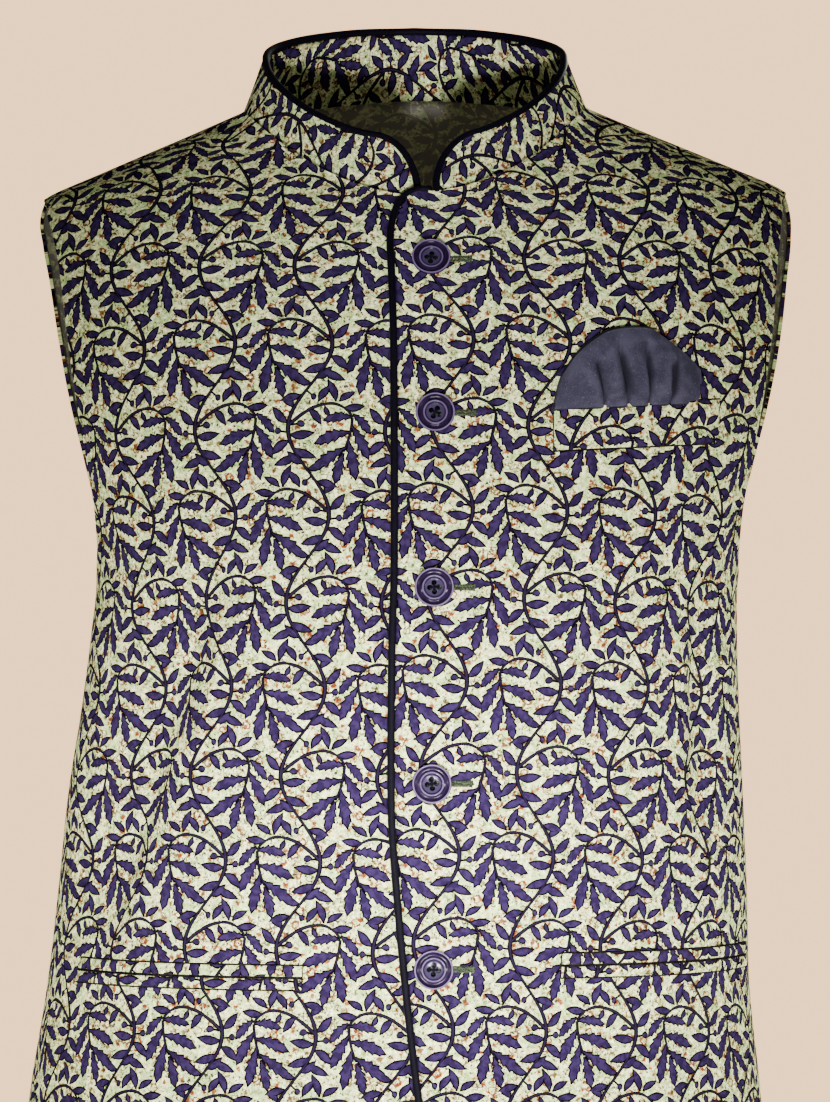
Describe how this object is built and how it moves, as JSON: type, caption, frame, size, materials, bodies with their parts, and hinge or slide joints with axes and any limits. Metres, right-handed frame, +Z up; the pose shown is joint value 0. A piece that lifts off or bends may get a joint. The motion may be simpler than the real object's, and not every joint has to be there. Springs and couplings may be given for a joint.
{
  "type": "nehru jacket",
  "caption": "Sleeveless hip-length jacket in worn form: stand collar, lapped button front with piped edge, welt pockets with a puffed pocket cloth, cutaway hem corners.",
  "frame": {"origin": "where the jacket hangs on the wearer's shoulders: midway between the two points where the shoulder seams meet the collar", "axes": "+Z up, the front faces -Y, and the wearer's left is +X"},
  "size_m": [0.4085, 0.2764, 0.7524],
  "materials": {
    "print_cloth": "satin-woven cloth with a leaf print in indigo on pale green",
    "navy_piping": "satin-covered cord",
    "navy_cloth": "matte fine twill",
    "button_plastic": "polished"
  },
  "bodies": {
    "root": {"front_left": "print_cloth", "front_right": "print_cloth", "back": "print_cloth", "collar": "print_cloth", "collar_piping": "navy_piping", "front_piping": "navy_piping", "front_piping_right": "navy_piping", "breast_welt": "print_cloth", "hip_welt_left_upper": "print_cloth", "hip_welt_left_lower": "print_cloth", "hip_welt_right_upper": "print_cloth", "hip_welt_right_lower": "print_cloth", "pocket_square": "navy_cloth", "button_1": "button_plastic", "button_2": "button_plastic", "button_3": "button_plastic", "button_4": "button_plastic", "button_5": "button_plastic"}
  },
  "joints": []
}
